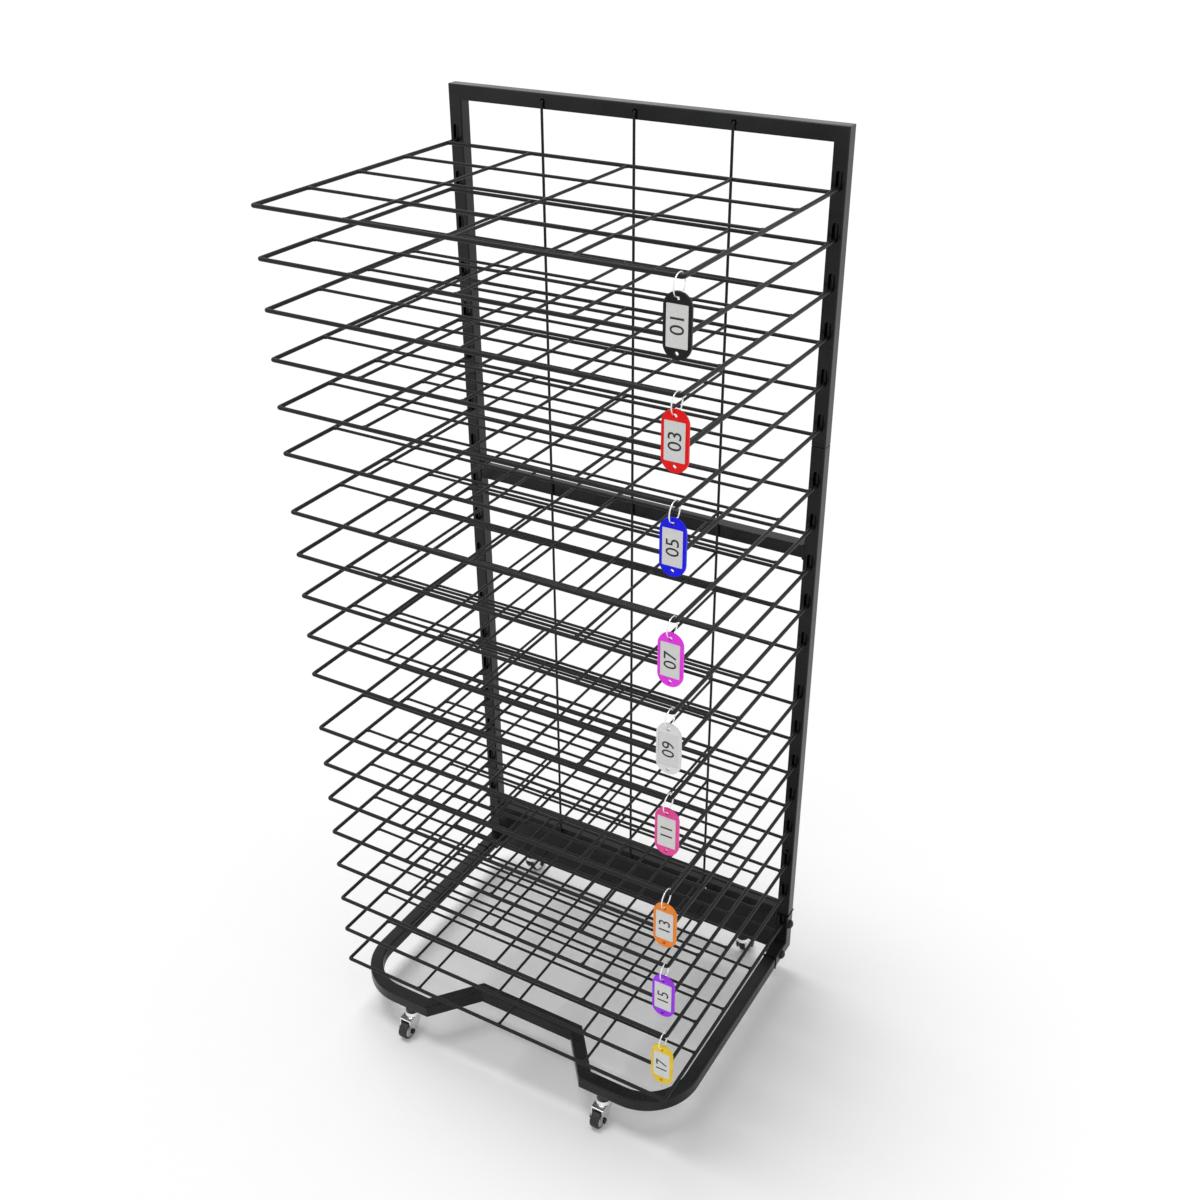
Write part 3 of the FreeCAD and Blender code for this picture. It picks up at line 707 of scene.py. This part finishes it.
@dataclass
class WireShelf:
    """One wire shelf: its coated wires and the spot welds where they cross.

    Attributes:
        number: from the top shelf, 1, to the bottom one.
        coat: powder coat of the wires.
        loop_wire: diameter of the wire round the front and sides.
        rear_wire: diameter of the wire across near the uprights.
        grid_wire: diameter of the thin wires.
        grid_spacing: between the wires that run front to back.
        cross_wires: thin wires across.
        rear_setback: rear wire's centre to the middle of the hooks.
        crossing_swell: half width of a crossing's lump, in thin wires.
        crossing_height: that lump's height as a share of its width.
        butt_swell: half width of the lump at a thin wire's end, in thin wires.
        butt_height: that lump's height as a share of its width.
        rear_swell: the rear wire's end lumps, as a share of a thin wire's scaled up to it.
    """

    number: int
    coat: Material
    loop_wire: float = 4.3 * MM
    rear_wire: float = 4.0 * MM
    grid_wire: float = 3.2 * MM
    grid_spacing: float = 117 * MM
    cross_wires: int = 3
    rear_setback: float = 19.15 * MM
    crossing_swell: float = 0.95
    crossing_height: float = 0.62
    butt_swell: float = 0.9
    butt_height: float = 0.75
    rear_swell: float = 0.85

    @property
    def body(self) -> str:
        """Name of the shelf's node and body."""
        return f"shelf_{self.number:02d}"

    def build(self) -> None:
        """Dresses the shelf and adds its spot welds."""
        coat_node(self.body, self.coat)
        self.welds()

    def welds(self) -> None:
        """Lumps of weld metal at each crossing and at each wire's ends."""
        shape = bmesh.new()
        low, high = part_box(self.body)
        half = self.loop_wire / 2
        z = low.z + half
        front, side = low.y + half, high.x - half
        rear = high.y - half - self.rear_setback
        spaces = self.cross_wires + 1
        rows = [front + (rear - front) * place / spaces for place in range(1, spaces)]
        crossing = Vector((1.0, 1.0, self.crossing_height)) * self.grid_wire * self.crossing_swell
        butt = Vector((1.0, 1.0, self.butt_height)) * self.grid_wire * self.butt_swell
        for x in (-self.grid_spacing, 0.0, self.grid_spacing):
            for y in rows:
                nugget(shape, Vector((x, y, z)), crossing)
            nugget(shape, Vector((x, front + half, z)), butt)
            nugget(shape, Vector((x, rear - self.rear_wire / 2, z)), butt)
        rear_butt = butt * (self.rear_wire / self.grid_wire) * self.rear_swell
        for x in (half - side, side - half):
            for y in rows:
                nugget(shape, Vector((x, y, z)), butt)
            nugget(shape, Vector((x, rear, z)), rear_butt)
        finished(f"{self.body}_welds", shape, self.coat, self.body, LUMPY_EDGE)


@dataclass
class ShelfTag:
    """Hanging name tag of one shelf: moulded plate, card with a number, and wire ring.

    Attributes:
        shelf: number of the shelf that it hangs on.
        plastic: finish of the plate.
        slot_name: the plate's material slot; not used.
        card: finish of the card.
        ink: finish of the printed number.
        steel: finish of the ring.
        card_size: width and height of the card.
        card_corner: radius of the card's corners.
        card_thickness: of the card in its recess.
        recess: depth of the recess in the plate.
        card_gap: card to the recess's floor.
        figure_height: of the printed number.
        ink_thickness: of the printed number.
        merge: figures' points that are nearer than this are one.
    """

    shelf: int
    plastic: Material
    slot_name: str
    card: Material
    ink: Material
    steel: Material
    card_size: tuple[float, float] = (20.0 * MM, 36.5 * MM)
    card_corner: float = 0.8 * MM
    card_thickness: float = 0.35 * MM
    recess: float = 0.6 * MM
    card_gap: float = 0.02 * MM
    figure_height: float = 13 * MM
    ink_thickness: float = 0.08 * MM
    merge: float = 0.001 * MM

    @property
    def body(self) -> str:
        """Name of the tag's node and body."""
        return f"tag_{self.shelf:02d}"

    def build(self) -> None:
        """Dresses the plate and ring, and adds the card and its number."""
        coat_node(self.body, self.plastic)
        coat_node(f"tag_ring_{self.shelf:02d}", self.steel)
        self.insert()
        self.printed_number()

    def card_centre(self) -> Vector:
        """Centre of the card, in its recess."""
        low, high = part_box(self.body)
        centre = middle_of((low, high))
        centre.y = low.y + self.recess - self.card_gap - self.card_thickness / 2
        return centre

    def insert(self) -> None:
        """Makes the card."""
        size = Vector((self.card_size[0], self.card_thickness, self.card_size[1]))
        shape = slab(self.card_centre(), size, self.card_corner)
        finished(f"{self.body}_card", shape, self.card, self.body)

    def printed_number(self) -> None:
        """Makes the number, which reads from the bottom of the card to its top."""
        name = f"{self.body}_number"
        text = bpy.data.curves.new(name, "FONT")
        text.body = f"{self.shelf:02d}"
        text.align_x = "CENTER"
        text.align_y = "CENTER"
        text.size = self.figure_height / FIGURE_SHARE
        text.extrude = self.ink_thickness / 2
        text.resolution_u = 4
        holder = bpy.data.objects.new(name + "_text", text)
        mesh = bpy.data.meshes.new_from_object(holder)
        bpy.data.objects.remove(holder)
        shape = bmesh.new()
        shape.from_mesh(mesh)
        bpy.data.meshes.remove(mesh)
        low = Vector(map(min, *[corner.co for corner in shape.verts]))
        high = Vector(map(max, *[corner.co for corner in shape.verts]))
        front = self.card_centre()
        front.y -= (self.card_thickness + self.ink_thickness) / 2
        stand = (
            Matrix.Translation(front) @ Matrix.Rotation(math.pi / 2, 4, "X")
            @ Matrix.Rotation(math.pi / 2, 4, "Z") @ Matrix.Translation((low + high) / -2)
        )
        bmesh.ops.remove_doubles(shape, verts=shape.verts, dist=self.merge)
        bmesh.ops.transform(shape, matrix=stand, verts=shape.verts)
        finished(name, shape, self.ink, self.body)


class CasterPlace(Enum):
    """The four casters of the base."""

    FRONT_LEFT = "front_left"
    FRONT_RIGHT = "front_right"
    REAR_LEFT = "rear_left"
    REAR_RIGHT = "rear_right"


@dataclass
class SwivelCaster:
    """Swivel caster: pressed fork, axle, and a wheel with a hard tread on a moulded hub.

    Attributes:
        place: which of the four.
        zinc: finish of the fork.
        axle: finish of the axle.
        tread: finish of the tyre.
        hub: finish of the wheel's centre.
        hub_radius: of the moulded centre.
        bore_radius: of the hole for the axle.
        dish: depth of the hub's face below the tyre's side.
        boss_radius: of the raised middle of the hub.
        boss_bevel: on the boss's edge.
        boss_flare: how far the boss's foot spreads.
        lip_drop: depth of the hub's outer lip below the tyre's side.
        lip_width: of that lip, at its top.
        lip_foot: width of that lip, at its foot.
        chamfer: tyre's bevelled shoulders.
        shoulder: points down a shoulder, each as steps inwards and downwards in chamfers.
        crown: half width of the tread's level middle, as a share of half the wheel's width.
        segments: facets round the wheel.
    """

    place: CasterPlace
    zinc: Material
    axle: Material
    tread: Material
    hub: Material
    hub_radius: float = 8.8 * MM
    bore_radius: float = 2.05 * MM
    dish: float = 1.2 * MM
    boss_radius: float = 4.0 * MM
    boss_bevel: float = 0.4 * MM
    boss_flare: float = 0.3 * MM
    lip_drop: float = 0.2 * MM
    lip_width: float = 0.9 * MM
    lip_foot: float = 1.3 * MM
    chamfer: float = 1.1 * MM
    shoulder: tuple[tuple[float, float], ...] = ((0.0, 1.0), (0.35, 0.45), (1.0, 0.08))
    crown: float = 0.3
    segments: int = 48

    @property
    def wheel(self) -> str:
        """Name of the wheel's node and body."""
        return f"caster_wheel_{self.place.value}"

    def build(self) -> None:
        """Dresses the fork and axle, and makes the wheel's tyre and hub."""
        coat_node(f"caster_fork_{self.place.value}", self.zinc)
        coat_node(f"caster_axle_{self.place.value}", self.axle)
        tyre = self.tyre()
        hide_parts(self.wheel)
        self.centre()

    def sizes(self) -> tuple[Vector, float, float]:
        """Centre of the wheel, half its width, and its radius."""
        low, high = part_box(self.wheel)
        return middle_of((low, high)), (high.x - low.x) / 2, (high.z - low.z) / 2

    def turned(
        self, name: str, side: list[tuple[float, float]], finish: Material
    ) -> bpy.types.Object:
        """Spins one half of a section and its mirror image into a part of the wheel.

        Args:
            name: what the part is called after the wheel.
            side: (x, radius) pairs from the inner radius outwards, on the +X side.
            finish: the part's finish.

        Returns:
            The part.
        """
        centre, _, _ = self.sizes()
        shape = lathe(side + [(-x, radius) for x, radius in reversed(side)], centre, self.segments)
        return finished(
            f"{self.wheel}_{name}", shape, finish, self.wheel, TURNED_EDGE
        )

    def tyre(self) -> bpy.types.Object:
        """Makes the tyre, with bevelled shoulders and a slightly crowned tread.

        Returns:
            The tyre.
        """
        _, half, radius = self.sizes()
        return self.turned("tyre", [
            (half, self.hub_radius),
            *((half - inwards * self.chamfer, radius - down * self.chamfer)
              for inwards, down in self.shoulder),
            (half * self.crown, radius),
        ], self.tread)

    def centre(self) -> None:
        """Makes the hub, with a dished face and a raised boss on both sides."""
        _, half, _ = self.sizes()
        lip, face = half - self.lip_drop, half - self.dish
        self.turned("hub", [
            (half, self.bore_radius),
            (half, self.boss_radius - self.boss_bevel),
            (half - self.boss_bevel, self.boss_radius),
            (face, self.boss_radius + self.boss_flare),
            (face, self.hub_radius - self.lip_foot),
            (lip, self.hub_radius - self.lip_width),
            (lip, self.hub_radius),
        ], self.hub)


@dataclass
class Studio:
    """Plain white studio: floor, world light, a broad soft sun and the camera.

    Attributes:
        floor_radius: of the round floor.
        floor_facets: sides of the round floor.
        floor_tone: colour of the floor.
        floor_roughness: of the floor.
        floor_lift: added to the floor for the camera alone, up to white.
        sky: strength of the world on the object.
        sun_strength: of the soft sun.
        sun_angle: its width in the sky, in degrees.
        sun_from: direction that it shines from.
        lens: focal length, in millimetres.
        sensor: width of the camera's sensor, in millimetres.
        camera_place: where the camera stands.
        camera_turn: its tilt and heading, in degrees.
        camera_shift: lens shift as a share of the width.
    """

    floor_radius: float = 16.0
    floor_facets: int = 96
    floor_tone: str = "#fbfbfb"
    floor_roughness: float = 0.9
    floor_lift: float = 0.08
    sky: float = 0.55
    sun_strength: float = 1.4
    sun_angle: float = 24.0
    sun_from: tuple[float, float, float] = (-0.22, 0.0, 1.0)
    lens: float = 41.987
    sensor: float = 36.0
    camera_place: tuple[float, float, float] = (0.70864, -1.12995, 1.34766)
    camera_turn: tuple[float, float] = (60.1451, 29.5135)
    camera_shift: tuple[float, float] = (-0.01665, -0.0009)

    def build(self) -> None:
        """Sets up everything round the object."""
        self.floor()
        self.world()
        self.sun()
        self.camera()
        bpy.context.scene.view_settings.view_transform = "Standard"

    def floor(self) -> None:
        """Round floor, white to the camera where no shadow falls."""
        shape = bmesh.new()
        bmesh.ops.create_circle(
            shape, cap_ends=True, segments=self.floor_facets, radius=self.floor_radius
        )
        mesh = bpy.data.meshes.new("floor")
        shape.to_mesh(mesh)
        shape.free()
        floor = bpy.data.objects.new("floor", mesh)
        bpy.context.scene.collection.objects.link(floor)
        material = bpy.data.materials.new("matt_white_sweep")
        material.use_nodes = True
        tree = material.node_tree
        shader = tree.nodes["Principled BSDF"]
        shader.inputs["Base Color"].default_value = linear(self.floor_tone)
        shader.inputs["Roughness"].default_value = self.floor_roughness
        shader.inputs["Specular IOR Level"].default_value = 0.0
        seen = add_node(tree, "ShaderNodeLightPath").outputs["Is Camera Ray"]
        lift = add_node(
            tree, "ShaderNodeMath", {"operation": "MULTIPLY", 1: self.floor_lift}, {0: seen}
        )
        glow = add_node(tree, "ShaderNodeEmission", None, {"Strength": lift.outputs[0]})
        both = add_node(
            tree, "ShaderNodeAddShader", None,
            {0: shader.outputs["BSDF"], 1: glow.outputs["Emission"]},
        )
        join(tree, tree.nodes["Material Output"], {"Surface": both.outputs[0]})
        mesh.materials.append(material)

    def world(self) -> None:
        """White to the camera and in reflections, softer as light on the object."""
        world = bpy.data.worlds.new("white_studio")
        bpy.context.scene.world = world
        world.use_nodes = True
        tree = world.node_tree
        tree.nodes.clear()
        path = add_node(tree, "ShaderNodeLightPath").outputs
        mirrored = add_node(
            tree, "ShaderNodeMath", {"operation": "MAXIMUM"},
            {0: path["Is Camera Ray"], 1: path["Is Glossy Ray"]},
        )
        seen = add_node(
            tree, "ShaderNodeMath", {"operation": "MAXIMUM"},
            {0: mirrored.outputs[0], 1: path["Is Transmission Ray"]},
        )
        light = add_node(tree, "ShaderNodeBackground", {"Color": WHITE, "Strength": self.sky})
        backdrop = add_node(tree, "ShaderNodeBackground", {"Color": WHITE, "Strength": 1.0})
        mixed = add_node(
            tree, "ShaderNodeMixShader", None,
            {0: seen.outputs[0], 1: light.outputs[0], 2: backdrop.outputs[0]},
        )
        add_node(tree, "ShaderNodeOutputWorld", None, {"Surface": mixed.outputs[0]})

    def sun(self) -> None:
        """One broad, soft sun from above and a little to the left, level over the floor."""
        data = bpy.data.lights.new("soft_sun", "SUN")
        data.energy = self.sun_strength
        data.angle = math.radians(self.sun_angle)
        lamp = bpy.data.objects.new("soft_sun", data)
        lamp.rotation_euler = Vector(self.sun_from).to_track_quat("Z", "Y").to_euler()
        bpy.context.scene.collection.objects.link(lamp)

    def camera(self) -> None:
        """Camera a little above the top rail, looking down across the front right corner."""
        data = bpy.data.cameras.new("camera")
        data.lens = self.lens
        data.sensor_width = self.sensor
        data.shift_x, data.shift_y = self.camera_shift
        camera = bpy.data.objects.new("camera", data)
        camera.location = self.camera_place
        tilt, heading = self.camera_turn
        camera.rotation_euler = (math.radians(tilt), 0.0, math.radians(heading))
        bpy.context.scene.collection.objects.link(camera)
        bpy.context.scene.camera = camera


# Low and high colours of each tag's plastic, from the top of the rack to its bottom.
TAG_COLOURS: dict[str, tuple[str, str]] = {
    "black": ("#161517", "#1e1d1f"),
    "red": ("#f20d0b", "#fb1512"),
    "blue": ("#0d0cf0", "#1514fa"),
    "magenta": ("#f23aee", "#fb46f6"),
    "white": ("#e8e8ea", "#f2f2f4"),
    "pink": ("#f0489c", "#fa54a8"),
    "orange": ("#f7892a", "#ff9434"),
    "purple": ("#a334ee", "#ad3ef8"),
    "yellow": ("#f5d02a", "#fdd934"),
}


def main() -> None:
    """Builds and dresses every sub-assembly in turn."""
    logging.basicConfig(level=logging.INFO, format="%(name)s: %(message)s")
    # Baked polyester powder: deep black from the front, grey where it is seen at a low angle,
    # because its satin skin mirrors the pale room there. The orange peel breaks up that sheen.
    tube_coat = PowderCoat("polyester_powder_coat").build()
    # The same powder on wire builds up thicker, so it is a little duller and its peel finer.
    wire_coat = PowderCoat(
        "polyester_powder_coat_on_wire", low="#0e0f10", high="#17181a", roughness=0.42,
        peel_mm=1.0,
    ).build()
    # Oiled black oxide on steel: nearly as dark as the tubes, but metallic and scuffed grey.
    oxide = BlackOxide("black_oxide_steel").build()
    # The same oxide on the axles' heads, not rubbed: nearly pure black against the zinc.
    dark_oxide = BlackOxide(
        "unrubbed_black_oxide", low="#070708", high="#121213", roughness=0.4
    ).build()
    # Thin lip at an elbow's mouth, near black with hardly any sheen: painted shadow of the seam
    # gap there, a dark line round the tube across the side that mirrors the room.
    lip = Moulded(
        "painted_seam_shadow", low="#050505", high="#0b0b0b", roughness=0.75,
        sheen_level=0.08,
    ).build()
    # Bright zinc plate on pressed steel: mirrors the white room on its sides and the dark tube
    # on its crown, softened by the clouds and rub marks of the plating drum.
    zinc = MetalPlate("bright_zinc_plate").build()
    # Nickel on drawn spring wire: paler and smoother than the zinc, so the rings read as white.
    nickel = MetalPlate(
        "nickel_plated_spring_wire", low="#e6e6e7", high="#fbfbfb", roughness=0.16
    ).build()
    # Nylon moulded in black: matt, with no highlight against the tube above it.
    socket = Moulded("moulded_black_nylon", low="#131314", high="#1c1c1d", roughness=0.45).build()
    # Cast polyurethane tread: charcoal and matt, a little lighter where it is scuffed.
    tread = Moulded(
        "moulded_polyurethane_tread", low="#232324", high="#2d2d2e", roughness=0.5
    ).build()
    # Polypropylene hub: pale grey with a soft, waxy sheen between the tread and the axle.
    hub = Moulded(
        "moulded_grey_polypropylene", low="#c6c7c8", high="#d4d5d6", roughness=0.4
    ).build()
    # Uncoated card in the tag's recess: off-white and matt, with faint fibres.
    card = CardStock("uncoated_card").build()
    # Printing ink: a dry, near-black film on the card.
    ink = Moulded("printing_ink", low="#1d1d1f", high="#29292b", roughness=0.6).build()

    TubeFrame(tube_coat, wire_coat, oxide, lip).build()
    coat_node("caster_sockets", socket)
    coat_node("caster_stems", zinc)
    shelves = sum(1 for body in frame["bodies"] if body.startswith("shelf_"))
    for number in range(1, shelves + 1):
        WireShelf(number, wire_coat).build()
    # Polypropylene tags, coloured right through and moulded: strong even colour, slight sheen.
    for place, (word, (low, high)) in enumerate(TAG_COLOURS.items()):
        plastic = Moulded(
            f"moulded_{word}_polypropylene", low=low, high=high, roughness=0.3, sheen_level=0.15
        ).build()
        ShelfTag(TAG_STEP * place + 1, plastic, f"tag_{word}", card, ink, nickel).build()
    for place in CasterPlace:
        SwivelCaster(place, zinc, dark_oxide, tread, hub).build()
    Studio().build()


if __name__ == "__main__":
    main()
